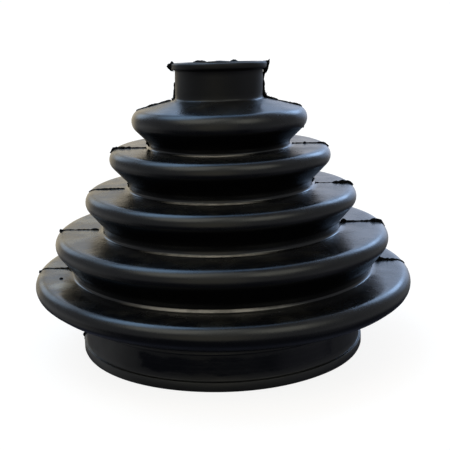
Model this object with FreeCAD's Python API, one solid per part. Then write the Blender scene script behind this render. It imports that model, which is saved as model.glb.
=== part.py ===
import FreeCAD, Part
import math
import os

# Rubber bellows boot: one moulding, with five stepped folds between a large and a small
# clamping collar. Millimetres, +Z up. The origin is the middle of the large end, which stands
# on z = 0. The mould parted in the XZ plane and left a thin flash on both sides.

# Folds, the largest first, to their sharp corners before rounding
fold_rise = [7.8, 10.3, 9.7, 10.0, 8.4]         # height of the leaning side below the crest
fold_lean = [9.7, 8.4, 8.2, 9.3, 8.6]           # how far that side leans out over its height
fold_ledge = [17.5, 17.7, 16.6, 15.9, 16.6]     # depth of the ledge from the crest in to the root
fold_climb = [0.2, 0.2, 0.4, 0.2, 4.3]          # how much the ledge climbs on its way in
crest_round = [3.1, 2.9, 2.9, 2.9, 3.5]
neck_height = [1.8, 2.4, 2.1, 1.5]              # upright step between a ledge and the next side
neck_round = 2.5
root_round = 0.8
belly_rise = 2.4                                # climb of the largest fold's underside
belly_round = 8.6

# Walls
fold_wall = 2.2
least_round = 0.4                               # rounding left where a wall takes the rest away
rounded_share = 0.94                            # part of a side that its two roundings may take up

# Large end: a plain bore, a seat for a clamp band and a bead at the foot
large_bore_radius = 39.5
large_collar_wall = 2.9
large_collar_height = 13.6
bead_height = 3.0
bead_stand_out = 0.8
bead_round = 0.7

# Small end: a plain bore, a seat for a clamp band and a lip at the top
small_bore_radius = 11.0
small_collar_wall = 2.15
small_seat_height = 8.3
lip_height = 2.5
lip_stand_out = 1.1
lip_round = 0.6

# Flash at the mould's parting line, and the two tabs that it leaves on the rim
flash_thickness = 0.4
flash_height = 0.4
tab_thickness = 0.8
left_tab_reach = 1.5
right_tab_reach = 1.1
right_tab_tip = 0.4                             # how far the right tab stands above the rim
right_tab_tail = 2.0                            # how far it is torn down below the lip

large_band_radius = large_bore_radius + large_collar_wall
bead_radius = large_band_radius + bead_stand_out
small_band_radius = small_bore_radius + small_collar_wall
lip_radius = small_band_radius + lip_stand_out


def fold_corners():
    """Outside corners (radius, height, rounding) from the large collar's top to the small collar's foot."""
    radius = small_band_radius + sum(fold_ledge) - sum(fold_lean)
    height = large_collar_height + belly_rise
    corners = [(large_band_radius, large_collar_height, root_round), (radius, height, belly_round)]
    for index, rounding in enumerate(crest_round):
        radius += fold_lean[index]
        height += fold_rise[index]
        corners.append((radius, height, rounding))
        radius -= fold_ledge[index]
        height += fold_climb[index]
        corners.append((radius, height, root_round))
        if index < len(crest_round) - 1:
            height += neck_height[index]
            corners.append((radius, height, neck_round))
    return corners


folds = fold_corners()
lip_foot = folds[-1][1] + small_seat_height
rim_height = lip_foot + lip_height


def outside_corners():
    """The whole outside, from the foot of the bead to the edge of the rim."""
    foot = [
        (bead_radius, 0.0, bead_round),
        (bead_radius, bead_height, bead_round),
        (large_band_radius, bead_height, root_round),
    ]
    lip = [
        (small_band_radius, lip_foot, root_round),
        (lip_radius, lip_foot, lip_round),
        (lip_radius, rim_height, lip_round),
    ]
    return foot + folds + lip


def parallel(corners, gaps):
    """Corners of a line beside the given one, each side moved towards the axis by its own gap."""
    sides = []
    for start, end, gap in zip(corners, corners[1:], gaps):
        length = math.hypot(end[0] - start[0], end[1] - start[1])
        out = (end[0] - start[0]) / length
        up = (end[1] - start[1]) / length
        sides.append((start[0] - up * gap, start[1] + out * gap, out, up, length, gap))
    first = sides[0]
    last = sides[-1]
    moved = [(first[0], first[1], corners[0][2])]
    for corner, below, above in zip(corners[1:], sides, sides[1:]):
        turn = below[2] * above[3] - below[3] * above[2]
        along = ((above[0] - below[0]) * above[3] - (above[1] - below[1]) * above[2]) / turn
        rounding = corner[2] - math.copysign(above[5], turn * above[5])
        moved.append((below[0] + below[2] * along, below[1] + below[3] * along, max(rounding, least_round)))
    moved.append((last[0] + last[2] * last[4], last[1] + last[3] * last[4], corners[-1][2]))
    return moved


def rounded_face(corners, place):
    """A flat face inside a closed loop of corners; place turns (radius, height) into a point."""
    turns = []
    for before, corner, after in zip(corners[-1:] + corners[:-1], corners, corners[1:] + corners[:1]):
        back = (before[0] - corner[0], before[1] - corner[1])
        ahead = (after[0] - corner[0], after[1] - corner[1])
        back_length = math.hypot(*back)
        ahead_length = math.hypot(*ahead)
        back = (back[0] / back_length, back[1] / back_length)
        ahead = (ahead[0] / ahead_length, ahead[1] / ahead_length)
        half = math.acos(max(-1.0, min(1.0, back[0] * ahead[0] + back[1] * ahead[1]))) / 2
        turns.append((back, ahead, half, ahead_length, corner[2] / math.tan(half)))
    # two roundings that would meet on the side between them share it
    shares = []
    for turn, following in zip(turns, turns[1:] + turns[:1]):
        shares.append(min(1.0, rounded_share * turn[3] / (turn[4] + following[4])))
    edges = []
    ends = []
    for index, (corner, (back, ahead, half, _, wanted)) in enumerate(zip(corners, turns)):
        cut = wanted * min(shares[index - 1], shares[index])
        middle = (back[0] + ahead[0], back[1] + ahead[1])
        reach = cut / math.cos(half) - cut * math.tan(half)
        scale = reach / math.hypot(*middle)
        start = place(corner[0] + back[0] * cut, corner[1] + back[1] * cut)
        top = place(corner[0] + middle[0] * scale, corner[1] + middle[1] * scale)
        end = place(corner[0] + ahead[0] * cut, corner[1] + ahead[1] * cut)
        edges.append([Part.Arc(start, top, end).toShape()])
        ends.append((start, end))
    for index, (start, _) in enumerate(ends):
        edges[index].insert(0, Part.LineSegment(ends[index - 1][1], start).toShape())
    return Part.Face(Part.Wire([edge for pair in edges for edge in pair]))


def moulding():
    """The wall of the boot, turned about its axis."""
    outside = outside_corners()
    outer_line = [(large_band_radius, 0.0, least_round)] + folds + [(small_band_radius, rim_height, least_round)]
    gaps = [large_collar_wall] + [fold_wall] * (len(folds) - 1) + [small_collar_wall]
    inside = parallel(outer_line, gaps)
    section = rounded_face(outside + inside[::-1], lambda r, z: FreeCAD.Vector(0, r, z))
    return section.revolve(FreeCAD.Vector(0, 0, 0), FreeCAD.Vector(0, 0, 1), 360)


def flash_fin(side):
    """The thin flash down one side of the outside, rooted in the wall."""
    outside = outside_corners()
    count = len(outside) - 1
    proud = parallel(outside, [-flash_height] * count)
    root = parallel(outside, [min(fold_wall, bead_stand_out, lip_stand_out) / 2] * count)
    strip = rounded_face(proud + root[::-1], lambda r, z: FreeCAD.Vector(side * r, -flash_thickness / 2, z))
    return strip.extrude(FreeCAD.Vector(0, flash_thickness, 0))


def rim_tab(points):
    """A flat tab of flash on the rim, from corners in the parting plane."""
    loop = [FreeCAD.Vector(x, -tab_thickness / 2, z) for x, z in points]
    face = Part.Face(Part.makePolygon(loop + loop[:1]))
    return face.extrude(FreeCAD.Vector(0, tab_thickness, 0))


def left_tab():
    """A rounded nub, as high as the lip."""
    root = lip_radius - lip_stand_out / 2
    tip = lip_radius + left_tab_reach
    middle = rim_height - lip_height / 2
    top = FreeCAD.Vector(-root, -tab_thickness / 2, rim_height)
    peak = FreeCAD.Vector(-tip, -tab_thickness / 2, middle)
    foot = FreeCAD.Vector(-root, -tab_thickness / 2, lip_foot)
    outline = Part.Wire([Part.Arc(top, peak, foot).toShape(), Part.LineSegment(foot, top).toShape()])
    return Part.Face(outline).extrude(FreeCAD.Vector(0, tab_thickness, 0))


def right_tab():
    """A torn tab, with a tip above the rim and a tail below the lip."""
    root = lip_radius - lip_stand_out / 2
    tip = lip_radius + right_tab_reach
    return rim_tab([
        (root, rim_height),
        (tip, rim_height + right_tab_tip),
        (tip - right_tab_reach / 4, rim_height - lip_height / 2),
        (lip_radius + right_tab_reach / 4, lip_foot - right_tab_tail),
        (small_band_radius - flash_height, lip_foot - right_tab_tail),
        (small_band_radius - flash_height, lip_foot),
    ])


boot = moulding()
for piece in (flash_fin(1), flash_fin(-1), left_tab(), right_tab()):
    boot = boot.fuse(piece)
boot = boot.removeSplitter()
boot = boot.Solids[0] if len(boot.Solids) == 1 else boot

os.makedirs("parts", exist_ok=True)
boot.exportStep("parts/bellows_boot.step")
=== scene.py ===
"""The look of a rubber bellows boot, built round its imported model.

Sizes are named in mm unless a comment says otherwise, and the scene is in metres.
"""

import math
from collections import namedtuple

import bmesh
import bpy
from mathutils import Matrix, Vector, noise


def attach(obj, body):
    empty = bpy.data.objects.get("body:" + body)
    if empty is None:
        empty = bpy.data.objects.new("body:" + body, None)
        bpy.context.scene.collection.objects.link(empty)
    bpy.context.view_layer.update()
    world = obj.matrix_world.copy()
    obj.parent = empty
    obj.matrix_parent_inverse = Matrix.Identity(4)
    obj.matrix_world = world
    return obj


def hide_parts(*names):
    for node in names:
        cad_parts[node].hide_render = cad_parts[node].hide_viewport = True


MM = 0.001

# The moulding's sizes, as in the part's own source, with the largest fold first
FOLD_RISE = [7.8, 10.3, 9.7, 10.0, 8.4]
FOLD_LEAN = [9.7, 8.4, 8.2, 9.3, 8.6]
FOLD_LEDGE = [17.5, 17.7, 16.6, 15.9, 16.6]
FOLD_CLIMB = [0.2, 0.2, 0.4, 0.2, 4.3]
CREST_ROUND = [3.1, 2.9, 2.9, 2.9, 3.5]
NECK_HEIGHT = [1.8, 2.4, 2.1, 1.5]
NECK_ROUND = 2.5
ROOT_ROUND = 0.8
BELLY_RISE = 2.4
BELLY_ROUND = 8.6
FOLD_WALL = 2.2
LEAST_ROUND = 0.4
LARGE_BORE = 39.5
LARGE_WALL = 2.9
LARGE_HEIGHT = 13.6
BEAD_HEIGHT = 3.0
BEAD_OUT = 0.8
BEAD_ROUND = 0.7
SMALL_BORE = 11.0
SMALL_WALL = 2.15
SEAT_HEIGHT = 8.3
LIP_HEIGHT = 2.5
LIP_OUT = 1.1
LIP_ROUND = 0.6
LARGE_BAND = LARGE_BORE + LARGE_WALL
BEAD = LARGE_BAND + BEAD_OUT
SMALL_BAND = SMALL_BORE + SMALL_WALL
LIP = SMALL_BAND + LIP_OUT

# How the soft rubber stands out of true, by height
SETTLED = [
    # height, right, back, up, climb for each mm to the back, climb for each mm to the right
    (0.0, -0.5, -0.4, 0.0, 0.0, 0.0),
    (12.0, -0.5, -0.4, 0.0, 0.0, 0.0),
    (17.0, 0.2, -0.1, 0.0, 0.012, -0.01),
    (25.0, 0.0, 0.1, 0.0, 0.012, -0.004),
    (37.0, 0.0, 0.4, 0.0, 0.0, 0.0),
    (62.0, 0.1, 0.4, 0.0, 0.0, 0.0),
    (75.0, 0.2, 0.6, 0.0, -0.02, 0.0),
    (83.6, 0.4, 0.7, 0.3, -0.042, 0.0),
    (86.1, 0.5, 0.8, -0.3, -0.045, 0.0),
]

# The most that the uneven wall stands in, and how its noise is read round the wall and up it
UNEVEN = 0.18
UNEVEN_RING = 2.0
UNEVEN_RISE = 7.0

# Mesh fineness, and the most of a side that its two roundings may take up
AROUND = 256
WALL_STEP = 1.25
WALL_ARC_STEP = 0.7
FLASH_STEP = 0.3
MOST_ROUNDED = 0.94

# The flash on the right of the parting plane, as torn strips along the wall
FLASH_RIGHT = {
    # radius, height, how far it stands out, thickness
    "collar": [
        (13.15, 82.4, 0.8, 0.6), (13.15, 80.4, 0.35, 0.4), (13.15, 78.4, 0.25, 0.3),
        (13.15, 76.6, 0.5, 0.4), (13.5, 75.2, 1.4, 0.5)],
    "fold_5": [
        (13.8, 75.1, 1.0, 0.5), (15.0, 74.8, 0.4, 0.4), (16.4, 74.5, 0.6, 0.5), (17.6, 74.1, 0.2, 0.3),
        (21.0, 73.3, 0.35, 0.4), (23.6, 72.6, 0.45, 0.4), (24.8, 72.2, 0.2, 0.3)],
    "nub": [(25.6, 66.5, 0.3, 0.6), (25.2, 66.0, 0.8, 0.9), (24.7, 65.3, 0.3, 0.5)],
    "fold_4": [
        (21.8, 61.1, 0.25, 0.3), (25.0, 61.0, 0.2, 0.25), (25.6, 61.0, 0.6, 0.6), (26.2, 61.0, 0.2, 0.25),
        (29.0, 61.0, 0.25, 0.3), (30.4, 61.0, 0.5, 0.5), (32.6, 61.0, 0.35, 0.4), (34.2, 60.9, 0.3, 0.3)],
    "neck_3": [(28.0, 50.4, 0.9, 0.6), (28.2, 49.2, 0.7, 0.6)],
    "fold_3": [
        (28.8, 48.7, 0.3, 0.4), (30.0, 48.7, 0.12, 0.2), (34.0, 48.6, 0.12, 0.2), (35.0, 48.6, 0.5, 0.7),
        (37.4, 48.5, 0.9, 1.1), (39.6, 48.5, 0.75, 0.9), (41.2, 48.3, 0.3, 0.4)],
    "fold_2": [
        (36.6, 36.3, 0.6, 0.7), (37.6, 36.2, 1.2, 1.1), (38.8, 36.2, 0.4, 0.4), (43.8, 36.2, 0.3, 0.4),
        (45.4, 36.2, 0.5, 0.8), (47.4, 36.2, 1.0, 1.1), (49.0, 36.1, 0.6, 0.8), (50.4, 36.0, 0.3, 0.4),
        (52.4, 35.4, 0.15, 0.25)],
    "fold_1": [
        (47.4, 24.0, 0.6, 0.7), (48.6, 24.0, 1.2, 1.2), (50.0, 24.0, 0.6, 0.6), (52.8, 23.9, 0.6, 0.6),
        (53.8, 23.9, 0.3, 0.4), (58.0, 23.6, 0.15, 0.2)],
    "foot": [(43.2, 0.9, 0.3, 0.4), (43.2, 2.2, 0.4, 0.6), (42.6, 3.2, 0.4, 0.6), (42.4, 5.0, 0.3, 0.4)],
}

# The flash on the left, in the same way
FLASH_LEFT = {
    "collar": [
        (13.15, 80.0, 0.2, 0.3), (13.15, 77.6, 0.4, 0.4), (13.2, 75.9, 0.5, 0.5), (14.0, 75.0, 0.6, 0.6)],
    "fold_5": [
        (14.4, 75.0, 0.35, 0.4), (18.0, 74.0, 0.4, 0.4), (20.0, 73.6, 0.5, 0.5), (22.0, 73.0, 0.25, 0.3),
        (25.0, 72.2, 0.15, 0.2)],
    "neck_4": [
        (21.8, 64.2, 0.3, 0.5), (21.4, 63.2, 0.9, 0.9), (21.2, 61.9, 0.9, 0.8), (21.6, 61.2, 0.5, 0.6)],
    "fold_4": [
        (22.0, 61.1, 0.3, 0.4), (26.2, 61.0, 0.25, 0.3), (27.0, 61.0, 0.5, 0.6), (30.0, 61.0, 0.5, 0.6),
        (32.0, 60.9, 0.6, 0.6), (33.8, 60.9, 0.3, 0.4), (35.2, 60.6, 0.3, 0.4)],
    "neck_3": [(28.0, 50.6, 0.6, 0.6), (28.2, 49.2, 0.6, 0.6)],
    "fold_3": [
        (29.0, 48.7, 0.2, 0.3), (31.0, 48.7, 0.45, 0.5), (36.4, 48.5, 0.35, 0.4), (38.0, 48.5, 0.2, 0.2),
        (41.0, 48.4, 0.15, 0.2)],
    "fold_2": [
        (37.4, 36.3, 0.35, 0.5), (38.6, 36.2, 0.5, 0.6), (40.2, 36.2, 0.3, 0.35), (47.6, 36.2, 0.2, 0.25),
        (48.8, 36.1, 0.3, 0.3), (49.6, 36.1, 0.65, 0.7), (50.2, 36.0, 0.4, 0.4)],
    "fold_1": [
        (45.8, 24.0, 0.6, 0.6), (46.8, 24.0, 1.0, 0.9), (48.2, 24.0, 0.35, 0.4), (55.0, 23.8, 0.2, 0.25),
        (57.0, 23.7, 0.1, 0.15)],
    "crest_1": [(56.0, 23.5, 0.15, 0.3), (56.7, 23.1, 0.45, 0.5), (57.1, 22.6, 0.15, 0.3)],
    "foot": [
        (43.2, 0.8, 0.3, 0.5), (43.2, 2.0, 0.7, 0.8), (42.6, 3.2, 0.5, 0.6), (42.4, 6.0, 0.6, 0.6),
        (42.4, 11.6, 0.4, 0.5)],
}

# On the left ledges the flash comes forward by this share of its way in, from this far inside its end
LEFT_DRIFT = 0.15
DRIFT_START = 3.0

# A strip's section, from the skin on one side over the top to the other
STRIP_SECTION = (
    # up as a share of its height, or mm into the skin, and aside as a share of half its thickness
    (-0.35, -1.0), (0.45, -0.8), (1.0, -0.3), (1.0, 0.3), (0.45, 0.8), (-0.35, 1.0))

# How torn flash wanders: its swing, waves per mm and, for two of them, where the noise starts
LONG_TEARS = (0.5, 0.9)
SHORT_TEARS = (0.35, 2.3)
SIDE_WANDER = (0.25, 0.6, Vector((5, 0, 0)))
THICK_WANDER = (0.4, 1.3, Vector((0, 9, 0)))
TAB_TEARS = (0.006, 3)

# Flat tabs of flash on the rim: corners in the parting plane
RIM_TABS = {
    "rim_tab_left": [
        (-13.3, 86.2), (-14.1, 86.7), (-15.0, 85.9), (-15.6, 85.1), (-15.0, 84.0), (-14.5, 83.4),
        (-13.5, 83.2)],
    "rim_tab_right": [
        (13.2, 86.1), (14.5, 86.3), (15.05, 86.78), (15.0, 85.3), (14.7, 83.4), (14.1, 82.1),
        (13.3, 81.2), (13.1, 83.0)],
}

# The web of flash that fills the corner at the foot of the small collar, in the same way
COLLAR_WEB = [
    (12.8, 80.3), (13.6, 80.1), (13.45, 78.9), (13.55, 77.6), (13.85, 76.4), (14.4, 75.5), (15.2, 74.95),
    (16.6, 74.6), (16.4, 73.8), (14.0, 74.4), (12.8, 75.2)]

# The layers of a flat tab, from front to back, and the points along each of its sides
TAB_LAYERS = (
    # depth, size as a share
    (-0.4, 0.75), (-0.12, 1.0), (0.12, 1.0), (0.4, 0.75))
TAB_POINTS = 3

# Burrs on the far side of the rim
RIM_BURRS = {
    # first and last angle in degrees, how far it stands up
    "rim_burr_left": (106, 124, 0.55),
    "rim_burr_right": (64, 74, 0.5),
    "rim_burr_low": (76, 104, 0.2),
}
BURR_IN = 0.7
BURR_THICK = 0.6
BURR_STEPS = 14

# A torn pip on the left of the largest ledge, and the middle of a pale smear beside it
PIP = [
    # place across, how far it stands up, size from front to back
    (-48.9, 0.1, 0.4), (-48.5, 0.35, 0.7), (-48.1, 0.35, 0.7), (-47.8, 0.1, 0.4)]
PIP_Y = -11.0
PIP_Z = 24.0
SMEAR = (-47.3, -17.6, 24.0)

# The rubber's patterns: waves per metre and levels of detail
GRAIN = (1500, 3)
CLOUD = (45, 4)
RAGGED_EDGE = (120, 3)
DULLNESS = (130, 6)
# spots that break up the painted highlight in the roots
ROOT_HIGHLIGHT_SPOTS = (260, 3)
DUST_SPOTS = (160, 5)
# spots of soil on the left ledges, which also carry a painted warm reflection
SOIL_AND_REFLECTION_SPOTS = (110, 6)
SCUFFS = (210, 6)
TORN_GRAIN = (900, 4)
LINES_ACROSS = 900.0
LINES_ALONG = 1.2

# Heights between which a look comes in or goes
BEAD_TOP = (2.8, 3.6)
PATCH_LOW = (4.2, 5.6)
PATCH_HIGH = (8.8, 10.4)
LARGE_COLLAR_TOP = (13.5, 15.5)
LOWEST_UNDERSIDE = (24.5, 25.5)
TOP_FOLD_SIDE = (64.0, 68.0)
HIGHEST_UNDERSIDE = (74.0, 76.0)
SMALL_COLLAR_FOOT = (74.5, 76.5)

# Distances over which a look fades
ROOT_FADE = (0.6, 2.2)
# the distances over which the painted root highlight fades
ROOT_HIGHLIGHT_FADE = (0.3, 0.55)
SMEAR_FADE = (1.2, 4.8)
SMEAR_RAGGED = 8.0
PATCH_RAGGED = 6.0
RAISED_LINE = 10.8
RAISED_FADE = (0.0, 0.4)

# Angles in radians to the right of the front
PATCH_MIDDLE = 0.1
PATCH_ASIDE = (0.62, 0.74)
# the painted root highlight: its middle, and how far aside it fades out, in the front only
ROOT_HIGHLIGHT_MIDDLE = -0.12
ROOT_HIGHLIGHT_ASIDE = (0.1, 0.62)
# the left side, where soil and a painted warm reflection go on the ledges
SOIL_AND_REFLECTION_SIDE = (-1.5, -0.9)

# How far up the wall faces where a look comes in or goes, from -1 to 1
DUST_FACING = (0.5, 0.95)
# ledges facing up, which take the soil and the painted warm reflection
SOIL_AND_REFLECTION_FACING = (0.7, 0.98)
SCUFF_FACING = (0.8, 0.98)
UNDER_FACING = (-0.6, -0.3)

# Where a pattern comes in, and what it gives
DULLNESS_FADE = (0.3, 0.7)
DUST_FADE = (0.42, 0.75)
# where the soil and the painted warm reflection come in
SOIL_AND_REFLECTION_FADE = (0.48, 0.64)
# how the spots share out the painted root highlight
ROOT_HIGHLIGHT_SPOTS_FADE = (0.3, 0.6)
ROOT_HIGHLIGHT_SHARE = (0.5, 1.0)
SKIN_ROUGHNESS = (0.2, 0.31)
TORN_ROUGHNESS = (0.6, 0.8)

# What a place adds to the roughness or takes from it
COLLARS_DULLER = 0.18
TOP_FOLD_DULLER = 0.02
PATCH_SMOOTHER = 0.32
ROOT_SMOOTHER = 0.07

# The sheen, and what a place takes from it
SHEEN = 0.5
UNDER_LESS_SHEEN = 0.48
COLLAR_LESS_SHEEN = 0.2
TORN_SHEEN = 0.1

# Colours
SKIN = (0.003, 0.003, 0.0034, 1)
DUST = (0.013, 0.0118, 0.0095, 1)
# warm soil colour, which is partly a painted reflection of warm light on the left ledges
SOIL_AND_PAINTED_REFLECTION = (0.12, 0.1, 0.068, 1)
SMEARED = (0.19, 0.18, 0.15, 1)
GREYER_BEAD = (0.012, 0.0118, 0.0105, 1)
# the pale colour of the painted highlight in the front of the roots
PAINTED_ROOT_HIGHLIGHT = (0.5, 0.46, 0.4, 1)
TORN_BLACK = (0.0006, 0.0006, 0.0008, 1)
TORN_GREY = (0.002, 0.002, 0.002, 1)
WHITE = (1, 1, 1, 1)

# Bumps: strength and depth
GRAIN_BUMP = (0.25, 0.06)
LINES_BUMP = (0.3, 0.06)
CLOUD_BUMP = (0.3, 0.6)
SCUFF_BUMP = (0.5, 0.13)
RAISED_BUMP = (0.6, 0.2)
TORN_BUMP = (0.6, 0.2)

# Soft patches of light all round the studio
SOFT_LIGHTS = {
    # degrees to the right of straight behind the object, degrees up, width in degrees, colour
    "window right": (35, 27, 19, (2.2, 3.3, 5.1)),
    "glow round the window": (30, 20, 42, (0.5, 0.75, 1.2)),
    "window high left": (302, 62, 32, (1.6, 2.6, 3.9)),
    "window low left": (325, 25, 24, (0.9, 1.25, 1.7)),
    "window behind left": (353, 31, 20, (0.8, 1.25, 1.95)),
    "window behind right": (17, 34, 17, (0.6, 0.9, 1.4)),
    "skylight behind": (355, 58, 34, (0.4, 0.85, 1.55)),
    "wall behind left": (342, 2, 44, (0.68, 0.56, 0.34)),
    "wall behind right": (16, 4, 36, (0.44, 0.45, 0.52)),
    "lamp overhead": (180, 76, 24, (0.95, 0.98, 0.88)),
    "lamp front left": (228, 55, 40, (1.5, 1.5, 1.3)),
    "lamp front right": (136, 47, 36, (1.3, 1.3, 1.1)),
    "lamp front": (180, 48, 34, (0.25, 0.25, 0.2)),
    "room in front": (190, 8, 50, (0.25, 0.22, 0.12)),
}

# Faint patches on the dark floor, in the same way
FLOOR_LIGHTS = {
    "floor left": (288, -20, 50, (0.2, 0.2, 0.19)),
    "floor far right": (110, -20, 44, (0.08, 0.08, 0.09)),
}

# How far a patch reaches from its middle, as a share of its width
SOFT_REACH = 0.7

# The room's own light, and the darker light from below, with the sines of the angles where it fades
ROOM = (0.26, 0.27, 0.29, 1)
BELOW = (0.03, 0.034, 0.05, 1)
BELOW_FADE = (-0.42, -0.12)

# The pale floor that the camera sees, in metres: a disc that bends up into a wall
FLOOR_RINGS = (0.3, 1.0)
FLOOR_RADIUS = 4.0
FLOOR_BEND = 1.0
FLOOR_RISE = 3.0
BEND_STEPS = 12
FLOOR_AROUND = 96
FLOOR_COLOUR = (0.22, 0.2, 0.18, 1)
FLOOR_ROUGHNESS = 0.9
FLOOR_GLOW = 0.87

# The photograph's camera, with its focus in pixels of the 450 by 450 frame and its turns in degrees
CAMERA_BACK = 278.2
CAMERA_HEIGHT = 103.5
CAMERA_SIDE = 1.05
CAMERA_DOWN = 13.56
CAMERA_ROLL = -1.45
CAMERA_FOCUS = 930.8
OBJECT_TURN = 0.99
FRAME_SIDE = 450
SENSOR_WIDTH = 36.0
NEAREST_SEEN = 10.0

# Sockets of a node that mixes colours
MIX_FIRST = 6
MIX_SECOND = 7
MIX_RESULT = 2

Side = namedtuple("Side", "radius height out up length wall")
Wall = namedtuple("Wall", "spot radius angle height section facing ragged")


def fold_corners():
    """Outside corners (radius, height, rounding) of the folds, from the large collar up."""
    radius = SMALL_BAND + sum(FOLD_LEDGE) - sum(FOLD_LEAN)
    height = LARGE_HEIGHT + BELLY_RISE
    corners = [(LARGE_BAND, LARGE_HEIGHT, ROOT_ROUND), (radius, height, BELLY_ROUND)]
    for index, rounding in enumerate(CREST_ROUND):
        radius += FOLD_LEAN[index]
        height += FOLD_RISE[index]
        corners.append((radius, height, rounding))
        radius -= FOLD_LEDGE[index]
        height += FOLD_CLIMB[index]
        corners.append((radius, height, ROOT_ROUND))
        if index < len(CREST_ROUND) - 1:
            height += NECK_HEIGHT[index]
            corners.append((radius, height, NECK_ROUND))
    return corners


FOLDS = fold_corners()
ROOTS = [(radius, height) for radius, height, rounding in FOLDS[1:] if rounding == ROOT_ROUND]
LIP_FOOT = FOLDS[-1][1] + SEAT_HEIGHT
RIM = LIP_FOOT + LIP_HEIGHT


def outside_corners():
    """The outside of the wall, from the foot of the bead to the edge of the rim."""
    foot = [(BEAD, 0.0, BEAD_ROUND), (BEAD, BEAD_HEIGHT, BEAD_ROUND), (LARGE_BAND, BEAD_HEIGHT, ROOT_ROUND)]
    lip = [(SMALL_BAND, LIP_FOOT, ROOT_ROUND), (LIP, LIP_FOOT, LIP_ROUND), (LIP, RIM, LIP_ROUND)]
    return foot + FOLDS + lip


def inside_corners():
    """The inside of the wall, from the foot up: the outside moved in by the wall."""
    line = [(LARGE_BAND, 0.0, LEAST_ROUND)] + FOLDS + [(SMALL_BAND, RIM, LEAST_ROUND)]
    walls = [LARGE_WALL] + [FOLD_WALL] * (len(FOLDS) - 1) + [SMALL_WALL]
    sides = []
    for start, end, wall in zip(line, line[1:], walls):
        length = math.hypot(end[0] - start[0], end[1] - start[1])
        out = (end[0] - start[0]) / length
        up = (end[1] - start[1]) / length
        sides.append(Side(start[0] - up * wall, start[1] + out * wall, out, up, length, wall))
    moved = [(sides[0].radius, sides[0].height, LEAST_ROUND)]
    for corner, below, above in zip(line[1:], sides, sides[1:]):
        turn = below.out * above.up - below.up * above.out
        gap = (above.radius - below.radius) * above.up - (above.height - below.height) * above.out
        along = gap / turn
        rounding = max(corner[2] - math.copysign(above.wall, turn), LEAST_ROUND)
        moved.append((below.radius + below.out * along, below.height + below.up * along, rounding))
    last = sides[-1]
    moved.append((last.radius + last.out * last.length, last.height + last.up * last.length, LEAST_ROUND))
    return moved


def corner_turn(before, corner, after):
    """At a corner: the ways back and ahead, half the angle between them, the length ahead, and how
    much of each side its rounding would take."""
    back = Vector(before[:2]) - Vector(corner[:2])
    ahead = Vector(after[:2]) - Vector(corner[:2])
    length = ahead.length
    back.normalize()
    ahead.normalize()
    half = back.angle(ahead) / 2
    return back, ahead, half, length, corner[2] / math.tan(half)


def rounded_line(corners, step, arc_step):
    """Points (radius, height) along a closed loop of corners, with each corner rounded."""
    trios = zip(corners[-1:] + corners[:-1], corners, corners[1:] + corners[:1])
    backs, aheads, halves, lengths, wanted = zip(*[corner_turn(*trio) for trio in trios])
    shares = []
    for length, cut, next_cut in zip(lengths, wanted, wanted[1:] + wanted[:1]):
        shares.append(min(1.0, MOST_ROUNDED * length / (cut + next_cut)))
    cuts = [cut * min(shares[index - 1], shares[index]) for index, cut in enumerate(wanted)]
    next_cuts = cuts[1:] + cuts[:1]
    points = []
    for index, (back, ahead, half) in enumerate(zip(backs, aheads, halves)):
        cut = cuts[index]
        radius = cut * math.tan(half)
        spot = Vector(corners[index][:2])
        middle = spot + (back + ahead).normalized() * (radius / math.sin(half))
        start = spot + back * cut - middle
        sweep = start.angle_signed(spot + ahead * cut - middle)
        count = max(2, round(abs(sweep) * radius / arc_step))
        for k in range(count + 1):
            points.append(middle + Matrix.Rotation(-sweep * k / count, 2) @ start)
        run = lengths[index] - cut - next_cuts[index]
        parts = math.ceil(run / step)
        for k in range(1, parts):
            points.append(spot + ahead * (cut + run * k / parts))
    return points


def settled(height):
    """How far the soft stack stands out of true at a height, as the columns of the list say."""
    for low, high in zip(SETTLED, SETTLED[1:]):
        if height <= high[0]:
            share = max(0.0, (height - low[0]) / (high[0] - low[0]))
            share = share ** 2 * (3 - 2 * share)
            return [a + (b - a) * share for a, b in zip(low[1:], high[1:])]
    return SETTLED[-1][1:]


def settle(x, y, z):
    """A point given in mm, in metres and moved to where the soft rubber has settled."""
    right, back, up, climb_back, climb_right = settled(z)
    return Vector((x + right, y + back, z + up + climb_back * y + climb_right * x)) * MM


def place(radius, height, angle):
    """A point of the wall, with the small unevenness of soft rubber."""
    across = math.cos(angle)
    back = math.sin(angle)
    around = Vector((UNEVEN_RING * across, UNEVEN_RING * back, height / UNEVEN_RISE))
    radius -= UNEVEN * (0.5 + 0.5 * noise.noise(around))
    return settle(radius * across, radius * back, height)


def wall_loop(step, arc_step):
    """The wall's section as one closed line, from the foot of the bead up the outside and back inside."""
    return rounded_line(outside_corners() + inside_corners()[::-1], step, arc_step)


def new_piece(name, vertices, faces):
    """A mesh object with its faces turned outwards."""
    mesh = bpy.data.meshes.new(name)
    mesh.from_pydata(vertices, [], faces)
    work = bmesh.new()
    work.from_mesh(mesh)
    bmesh.ops.recalc_face_normals(work, faces=work.faces)
    work.to_mesh(mesh)
    work.free()
    mesh.shade_smooth()
    piece = bpy.data.objects.new(name, mesh)
    bpy.context.scene.collection.objects.link(piece)
    return piece


def build_boot():
    """The moulded wall, one closed mesh turned about the axis."""
    section = wall_loop(WALL_STEP, WALL_ARC_STEP)
    count = len(section)
    vertices = []
    faces = []
    for k in range(AROUND):
        angle = math.tau * k / AROUND
        after = (k + 1) % AROUND
        for j, (radius, height) in enumerate(section):
            up = (j + 1) % count
            vertices.append(place(radius, height, angle))
            faces.append((k * count + j, after * count + j, after * count + up, k * count + up))
    return new_piece("boot_wall", vertices, faces)


def wander(point, swing, waves, start=Vector((0, 0, 0))):
    """Smooth noise at a point, of about the swing either way."""
    return swing * noise.noise(point * waves + start)


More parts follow.
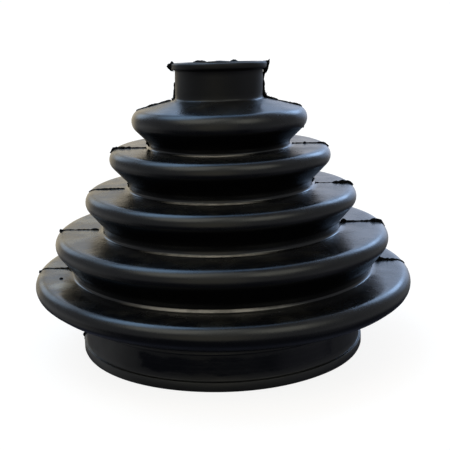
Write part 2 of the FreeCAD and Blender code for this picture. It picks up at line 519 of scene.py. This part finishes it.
def strip(name, spots):
    """A ragged closed strip through spots: point, outward and sideways way, stand-out, thickness."""
    vertices = []
    faces = []
    count = len(STRIP_SECTION)
    for point, outward, sideways, stands_out, thick in spots:
        height = stands_out * (1 + wander(point, *LONG_TEARS) + wander(point, *SHORT_TEARS))
        shift = wander(point, *SIDE_WANDER)
        half = thick / 2 * (1 + wander(point, *THICK_WANDER))
        for out, aside in STRIP_SECTION:
            lift = out * height if out > 0 else out
            vertices.append(settle(*(point + outward * lift + sideways * (aside * half + shift))))
    for k in range(len(spots) - 1):
        base = k * count
        for j in range(count):
            up = (j + 1) % count
            faces.append((base + j, base + up, base + count + up, base + count + j))
    faces.append(tuple(range(count)))
    faces.append(tuple(len(vertices) - 1 - j for j in range(count)))
    return new_piece(name, vertices, faces)


def parting_strip(name, side, drift, stations, line):
    """A strip of flash that follows the outside of the wall, in the parting plane but for its drift."""
    places = []
    for radius, height, stands_out, thick in stations:
        station = Vector((radius, height))
        nearest = min(range(len(line)), key=lambda k: (line[k] - station).length)
        places.append((nearest, stands_out, thick))
    places.sort()
    drift_from = max(line[nearest].x for nearest, _, _ in places) - DRIFT_START
    spots = []
    for low, high in zip(places, places[1:]):
        for k in range(low[0], high[0] + 1):
            share = (k - low[0]) / max(1, high[0] - low[0])
            along = line[k + 1] - line[k - 1]
            outward = Vector((side * along.y, 0, -along.x)).normalized()
            point = Vector((side * line[k].x, drift * (line[k].x - drift_from), line[k].y))
            stands_out = low[1] + (high[1] - low[1]) * share
            thick = low[2] + (high[2] - low[2]) * share
            spots.append((point, outward, Vector((0, 1, 0)), stands_out, thick))
    return strip(name, spots)


def rim_burr(name, first, last, stands_out):
    """A burr that stands on the rim's outer edge, lowest at its ends."""
    spots = []
    for k in range(BURR_STEPS + 1):
        angle = math.radians(first + (last - first) * k / BURR_STEPS)
        out = Vector((math.cos(angle), math.sin(angle), 0))
        point = out * (LIP - BURR_IN) + Vector((0, 0, RIM))
        height = stands_out * math.sin(math.pi * (k + 1) / (BURR_STEPS + 2))
        spots.append((point, Vector((0, 0, 1)), out, height, BURR_THICK))
    return strip(name, spots)


def torn_pip():
    """A small torn pip on the largest ledge."""
    spots = []
    for x, stands_up, thick in PIP:
        spots.append((Vector((x, PIP_Y, PIP_Z)), Vector((0, 0, 1)), Vector((0, 1, 0)), stands_up, thick))
    return strip("pip", spots)


def flat_tab(name, corners):
    """A flat torn tab in the parting plane, smaller on its front and back than in its middle."""
    edge = []
    for start, end in zip(corners, corners[1:] + corners[:1]):
        for k in range(TAB_POINTS):
            spot = Vector(start).lerp(Vector(end), k / TAB_POINTS)
            edge.append(spot * (1 + wander(spot.to_3d(), *TAB_TEARS)))
    middle = sum(edge, Vector((0, 0))) / len(edge)
    vertices = []
    for depth, share in TAB_LAYERS:
        for spot in edge:
            pulled = middle.lerp(spot, share)
            vertices.append(settle(pulled.x, depth, pulled.y))
    count = len(edge)
    faces = []
    for base in range(0, len(vertices) - count, count):
        for j in range(count):
            up = (j + 1) % count
            faces.append((base + j, base + up, base + count + up, base + count + j))
    faces.append(tuple(range(count)))
    faces.append(tuple(len(vertices) - 1 - j for j in range(count)))
    return new_piece(name, vertices, faces)


def build_flash():
    """All the flash that the photo shows, as separate torn pieces."""
    line = wall_loop(FLASH_STEP, FLASH_STEP)
    pieces = []
    for name, stations in FLASH_RIGHT.items():
        pieces.append(parting_strip(f"flash_{name}_right", 1, 0.0, stations, line))
    for name, stations in FLASH_LEFT.items():
        drift = LEFT_DRIFT if name.startswith("fold") else 0.0
        pieces.append(parting_strip(f"flash_{name}_left", -1, drift, stations, line))
    for name, (first, last, height) in RIM_BURRS.items():
        pieces.append(rim_burr(name, first, last, height))
    pieces.append(torn_pip())
    for name, corners in RIM_TABS.items():
        pieces.append(flat_tab(name, corners))
    pieces.append(flat_tab("collar_web", COLLAR_WEB))
    return pieces


class Nodes:
    """Short names for the nodes of one material or world."""

    def __init__(self, tree):
        self.tree = tree

    def add(self, kind, **settings):
        """A new node with its settings."""
        node = self.tree.nodes.new(kind)
        for key, value in settings.items():
            setattr(node, key, value)
        return node

    def fill(self, socket, value):
        """Links a socket to a value that comes from a node, or sets it to a plain one."""
        if isinstance(value, bpy.types.NodeSocket):
            self.tree.links.new(value, socket)
        else:
            socket.default_value = value

    def maths(self, operation, *values):
        """One step of arithmetic."""
        node = self.add("ShaderNodeMath", operation=operation)
        for socket, value in zip(node.inputs, values):
            self.fill(socket, value)
        return node.outputs[0]

    def plus(self, first, second):
        """The sum of two values."""
        return self.maths("ADD", first, second)

    def minus(self, first, second):
        """The first value less the second."""
        return self.maths("SUBTRACT", first, second)

    def times(self, first, second):
        """The product of two values."""
        return self.maths("MULTIPLY", first, second)

    def apart(self, first, second):
        """How far two values are from each other."""
        return self.maths("ABSOLUTE", self.minus(first, second))

    def ramp(self, value, edges, first=0.0, last=1.0):
        """The first below the lower edge, the last above the upper edge, and smooth between."""
        node = self.add("ShaderNodeMapRange", interpolation_type="SMOOTHSTEP")
        for socket, item in zip(node.inputs, (value, *edges, first, last)):
            self.fill(socket, item)
        return node.outputs[0]

    def ramp_mm(self, value, edges, first=0.0, last=1.0):
        """The same for a length in metres, with its edges in mm."""
        return self.ramp(value, [edge * MM for edge in edges], first, last)

    def noise(self, vector, scale, detail=2.0):
        """A cloudy pattern of so many waves per unit of the vector."""
        node = self.add("ShaderNodeTexNoise")
        self.fill(node.inputs["Vector"], vector)
        node.inputs["Scale"].default_value = scale
        node.inputs["Detail"].default_value = detail
        return node.outputs[0]

    def join(self, x, y, z):
        """The vector of three values."""
        node = self.add("ShaderNodeCombineXYZ")
        for socket, value in zip(node.inputs, (x, y, z)):
            self.fill(socket, value)
        return node.outputs[0]

    def split(self, vector):
        """The three values of a vector."""
        node = self.add("ShaderNodeSeparateXYZ")
        self.fill(node.inputs[0], vector)
        return node.outputs

    def distance(self, vector, place_mm):
        """How far a vector is from a place given in mm, in metres."""
        node = self.add("ShaderNodeVectorMath", operation="DISTANCE")
        self.fill(node.inputs[0], vector)
        node.inputs[1].default_value = [length * MM for length in place_mm]
        return node.outputs["Value"]

    def blend(self, share, first, second, way="MIX"):
        """The first colour, with the second over it or, where the way is ADD, added to it."""
        node = self.add("ShaderNodeMix", data_type="RGBA", blend_type=way)
        self.fill(node.inputs["Factor"], share)
        self.fill(node.inputs[MIX_FIRST], first)
        self.fill(node.inputs[MIX_SECOND], second)
        return node.outputs[MIX_RESULT]

    def bump(self, height, strength, depth, normal=None):
        """A normal tilted by a height pattern of a depth in mm."""
        node = self.add("ShaderNodeBump")
        node.inputs["Strength"].default_value = strength
        node.inputs["Distance"].default_value = depth * MM
        self.fill(node.inputs["Height"], height)
        if normal is not None:
            self.fill(node.inputs["Normal"], normal)
        return node.outputs[0]


def new_material(name):
    """A material with its nodes and its shader."""
    material = bpy.data.materials.new(name)
    material.use_nodes = True
    return material, Nodes(material.node_tree), material.node_tree.nodes["Principled BSDF"]


def wall_places(nodes):
    """What the rubber's looks go by at a point of the wall, in metres and radians."""
    spot = nodes.add("ShaderNodeTexCoord").outputs["Object"]
    x, y, height = nodes.split(spot)
    radius = nodes.maths("SQRT", nodes.plus(nodes.times(x, x), nodes.times(y, y)))
    angle = nodes.maths("ARCTAN2", x, nodes.times(y, -1.0))
    section = nodes.join(radius, height, 0.0)
    facing = nodes.split(nodes.add("ShaderNodeNewGeometry").outputs["Normal"])[2]
    ragged = nodes.times(nodes.minus(nodes.noise(spot, *RAGGED_EDGE), 0.5), 0.5)
    return Wall(spot, radius, angle, height, section, facing, ragged)


def smooth_patch(nodes, wall):
    """The share of a smooth, ragged patch on the front of the large collar."""
    aside = nodes.plus(nodes.apart(wall.angle, PATCH_MIDDLE), wall.ragged)
    height = nodes.plus(wall.height, nodes.times(wall.ragged, PATCH_RAGGED * MM))
    across = nodes.ramp(aside, PATCH_ASIDE, 1, 0)
    above = nodes.ramp_mm(height, PATCH_LOW)
    below = nodes.ramp_mm(height, PATCH_HIGH, 1, 0)
    return nodes.times(across, nodes.times(above, below))


def rubber_roughness(nodes, wall):
    """Uneven dullness, more of it on the collars, and a smoother patch and roots."""
    dull = nodes.ramp(nodes.noise(wall.spot, *DULLNESS), DULLNESS_FADE, *SKIN_ROUGHNESS)
    large_collar = nodes.ramp_mm(wall.height, LARGE_COLLAR_TOP, 1, 0)
    small_collar = nodes.ramp_mm(wall.height, SMALL_COLLAR_FOOT)
    top_fold = nodes.ramp_mm(wall.height, TOP_FOLD_SIDE)
    dull = nodes.plus(dull, nodes.times(nodes.plus(large_collar, small_collar), COLLARS_DULLER))
    dull = nodes.plus(dull, nodes.times(top_fold, TOP_FOLD_DULLER))
    dull = nodes.minus(dull, nodes.times(smooth_patch(nodes, wall), PATCH_SMOOTHER))
    for root in ROOTS:
        near = nodes.ramp_mm(nodes.distance(wall.section, (*root, 0)), ROOT_FADE, 1, 0)
        dull = nodes.minus(dull, nodes.times(near, ROOT_SMOOTHER))
    return dull


def painted_highlight_share(nodes, wall):
    """The share of a pale painted highlight in the front of the roots between the folds."""
    highlight = 0.0
    for root in ROOTS[:-1]:
        near = nodes.ramp_mm(nodes.distance(wall.section, (*root, 0)), ROOT_HIGHLIGHT_FADE, 1, 0)
        highlight = nodes.plus(highlight, near)
    # the highlight is painted only in the front
    front = nodes.ramp(nodes.apart(wall.angle, ROOT_HIGHLIGHT_MIDDLE), ROOT_HIGHLIGHT_ASIDE, 1, 0)
    spots = nodes.ramp(nodes.noise(wall.spot, *ROOT_HIGHLIGHT_SPOTS), ROOT_HIGHLIGHT_SPOTS_FADE, *ROOT_HIGHLIGHT_SHARE)
    return nodes.times(highlight, nodes.times(front, spots))


def rubber_colour(nodes, wall):
    """Black, with dust, soil and a painted warm reflection on the left ledges, a smear, a greyer bead and a
    painted root highlight.
    """
    dusty = nodes.ramp(nodes.noise(wall.spot, *DUST_SPOTS), DUST_FADE)
    colour = nodes.blend(nodes.times(nodes.ramp(wall.facing, DUST_FACING), dusty), SKIN, DUST)
    # soil, and a painted warm reflection, on the left ledges that face up
    soil_and_reflection = nodes.ramp(nodes.noise(wall.spot, *SOIL_AND_REFLECTION_SPOTS), SOIL_AND_REFLECTION_FADE)
    soil_and_reflection = nodes.times(soil_and_reflection, nodes.ramp(wall.facing, SOIL_AND_REFLECTION_FACING))
    soil_and_reflection = nodes.times(soil_and_reflection, nodes.ramp(wall.angle, SOIL_AND_REFLECTION_SIDE, 1, 0))
    colour = nodes.blend(soil_and_reflection, colour, SOIL_AND_PAINTED_REFLECTION)
    from_smear = nodes.plus(nodes.distance(wall.spot, SMEAR), nodes.times(wall.ragged, SMEAR_RAGGED * MM))
    colour = nodes.blend(nodes.ramp_mm(from_smear, SMEAR_FADE, 1, 0), colour, SMEARED)
    colour = nodes.blend(nodes.ramp_mm(wall.height, BEAD_TOP, 1, 0), colour, GREYER_BEAD)
    return nodes.blend(painted_highlight_share(nodes, wall), colour, PAINTED_ROOT_HIGHLIGHT)


def rubber_sheen(nodes, wall):
    """Less sheen under the folds and on the small collar."""
    under = nodes.times(
        nodes.ramp(wall.facing, UNDER_FACING, 1, 0), nodes.ramp_mm(wall.height, LOWEST_UNDERSIDE))
    under = nodes.times(under, nodes.ramp_mm(wall.height, HIGHEST_UNDERSIDE, 1, 0))
    collar = nodes.ramp_mm(wall.height, SMALL_COLLAR_FOOT)
    sheen = nodes.minus(SHEEN, nodes.times(under, UNDER_LESS_SHEEN))
    return nodes.minus(sheen, nodes.times(collar, COLLAR_LESS_SHEEN))


def rubber_normal(nodes, wall):
    """Grain, turned lines, soft hollows, scuffed ledges and a fine line round the large collar."""
    turned = nodes.join(
        nodes.times(wall.radius, LINES_ACROSS),
        nodes.times(wall.angle, LINES_ALONG),
        nodes.times(wall.height, LINES_ACROSS))
    scuffs = nodes.times(nodes.noise(wall.spot, *SCUFFS), nodes.ramp(wall.facing, SCUFF_FACING))
    raised = nodes.ramp_mm(nodes.apart(wall.height, RAISED_LINE * MM), RAISED_FADE, 1, 0)
    normal = nodes.bump(nodes.noise(wall.spot, *GRAIN), *GRAIN_BUMP)
    normal = nodes.bump(nodes.noise(turned, 1.0), *LINES_BUMP, normal)
    normal = nodes.bump(nodes.noise(wall.spot, *CLOUD), *CLOUD_BUMP, normal)
    normal = nodes.bump(scuffs, *SCUFF_BUMP, normal)
    return nodes.bump(raised, *RAISED_BUMP, normal)


def rubber_material():
    """The black moulded rubber."""
    material, nodes, shader = new_material("black_rubber")
    wall = wall_places(nodes)
    nodes.fill(shader.inputs["Base Color"], rubber_colour(nodes, wall))
    nodes.fill(shader.inputs["Roughness"], rubber_roughness(nodes, wall))
    nodes.fill(shader.inputs["Specular IOR Level"], rubber_sheen(nodes, wall))
    nodes.fill(shader.inputs["Normal"], rubber_normal(nodes, wall))
    return material


def torn_material():
    """The torn flash: blacker and duller than the moulded skin."""
    material, nodes, shader = new_material("torn_rubber")
    spot = nodes.add("ShaderNodeTexCoord").outputs["Object"]
    grain = nodes.noise(spot, *TORN_GRAIN)
    nodes.fill(shader.inputs["Base Color"], nodes.blend(grain, TORN_BLACK, TORN_GREY))
    nodes.fill(shader.inputs["Roughness"], nodes.ramp(grain, DULLNESS_FADE, *TORN_ROUGHNESS))
    shader.inputs["Specular IOR Level"].default_value = TORN_SHEEN
    nodes.fill(shader.inputs["Normal"], nodes.bump(grain, *TORN_BUMP))
    return material


def add_lights(nodes, way, total, lights):
    """Adds each soft light's patch to a world colour."""
    for azimuth, up, width, colour in lights.values():
        flat = math.cos(math.radians(up))
        right = math.sin(math.radians(azimuth)) * flat
        back = math.cos(math.radians(azimuth)) * flat
        near = nodes.add("ShaderNodeVectorMath", operation="DOT_PRODUCT")
        nodes.fill(near.inputs[0], way)
        near.inputs[1].default_value = (right, back, math.sin(math.radians(up)))
        edge = math.cos(math.radians(SOFT_REACH * width))
        glow = nodes.ramp(near.outputs["Value"], (edge, 1.0))
        total = nodes.blend(glow, total, (*colour, 1), "ADD")
    return total


def build_world():
    """A dim room with soft patches of light, over a dark floor with two faint ones."""
    world = bpy.data.worlds.new("studio")
    bpy.context.scene.world = world
    world.use_nodes = True
    nodes = Nodes(world.node_tree)
    way = nodes.add("ShaderNodeTexCoord").outputs["Generated"]
    up = nodes.split(way)[2]
    total = add_lights(nodes, way, ROOM, SOFT_LIGHTS)
    total = nodes.blend(nodes.ramp(up, BELOW_FADE), BELOW, total)
    total = add_lights(nodes, way, total, FLOOR_LIGHTS)
    nodes.fill(world.node_tree.nodes["Background"].inputs["Color"], total)


def floor_outline():
    """The floor's section (radius, height) in metres, from its first ring out and up."""
    flat = FLOOR_RADIUS - FLOOR_BEND
    outline = [(radius, 0.0) for radius in (*FLOOR_RINGS, flat)]
    for k in range(1, BEND_STEPS + 1):
        angle = math.pi / 2 * k / BEND_STEPS
        outline.append((flat + FLOOR_BEND * math.sin(angle), FLOOR_BEND - FLOOR_BEND * math.cos(angle)))
    outline.append((FLOOR_RADIUS, FLOOR_RISE))
    return outline


def floor_material():
    """A dull pale surface that glows a little."""
    material, _, shader = new_material("pale_floor")
    shader.inputs["Base Color"].default_value = FLOOR_COLOUR
    shader.inputs["Roughness"].default_value = FLOOR_ROUGHNESS
    shader.inputs["Specular IOR Level"].default_value = 0.0
    shader.inputs["Emission Color"].default_value = WHITE
    shader.inputs["Emission Strength"].default_value = FLOOR_GLOW
    return material


def build_floor():
    """A plain pale floor that rises far off into a wall, seen by the camera alone."""
    outline = floor_outline()
    vertices = [Vector((0, 0, 0))]
    for radius, height in outline:
        for k in range(FLOOR_AROUND):
            angle = math.tau * k / FLOOR_AROUND
            vertices.append(Vector((radius * math.cos(angle), radius * math.sin(angle), height)))
    faces = []
    for k in range(FLOOR_AROUND):
        after = (k + 1) % FLOOR_AROUND
        faces.append((0, 1 + k, 1 + after))
        for base in range(1, len(vertices) - FLOOR_AROUND, FLOOR_AROUND):
            outer = base + FLOOR_AROUND
            faces.append((base + k, outer + k, outer + after, base + after))
    mesh = bpy.data.meshes.new("floor")
    mesh.from_pydata(vertices, [], faces)
    mesh.shade_smooth()
    mesh.materials.append(floor_material())
    floor = bpy.data.objects.new("floor", mesh)
    bpy.context.scene.collection.objects.link(floor)
    floor.visible_glossy = False
    floor.visible_diffuse = False
    floor.visible_shadow = False


def build_camera():
    """The photograph's camera."""
    data = bpy.data.cameras.new("camera")
    data.sensor_width = SENSOR_WIDTH
    data.lens = SENSOR_WIDTH * CAMERA_FOCUS / FRAME_SIDE
    data.clip_start = NEAREST_SEEN * MM
    camera = bpy.data.objects.new("camera", data)
    bpy.context.scene.collection.objects.link(camera)
    spot = Matrix.Translation(Vector((CAMERA_SIDE, -CAMERA_BACK, CAMERA_HEIGHT)) * MM)
    turn = Matrix.Rotation(math.radians(-OBJECT_TURN), 4, "Z")
    tilt = Matrix.Rotation(math.radians(90 - CAMERA_DOWN), 4, "X")
    roll = Matrix.Rotation(math.radians(CAMERA_ROLL), 4, "Z")
    camera.matrix_world = turn @ spot @ tilt @ roll
    bpy.context.scene.camera = camera


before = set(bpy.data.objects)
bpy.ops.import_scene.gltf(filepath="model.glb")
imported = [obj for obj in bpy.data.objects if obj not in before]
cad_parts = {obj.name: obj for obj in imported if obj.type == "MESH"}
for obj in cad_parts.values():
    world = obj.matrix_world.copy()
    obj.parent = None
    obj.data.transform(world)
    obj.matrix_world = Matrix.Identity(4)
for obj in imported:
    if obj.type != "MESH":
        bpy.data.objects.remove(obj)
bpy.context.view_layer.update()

rubber = rubber_material()
boot = build_boot()
boot.data.materials.append(rubber)
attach(boot, "root")
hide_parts("bellows_boot")

torn = torn_material()
for piece in build_flash():
    piece.data.materials.append(torn)
    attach(piece, "root")

build_world()
build_floor()
build_camera()
bpy.context.scene.view_settings.view_transform = "Standard"
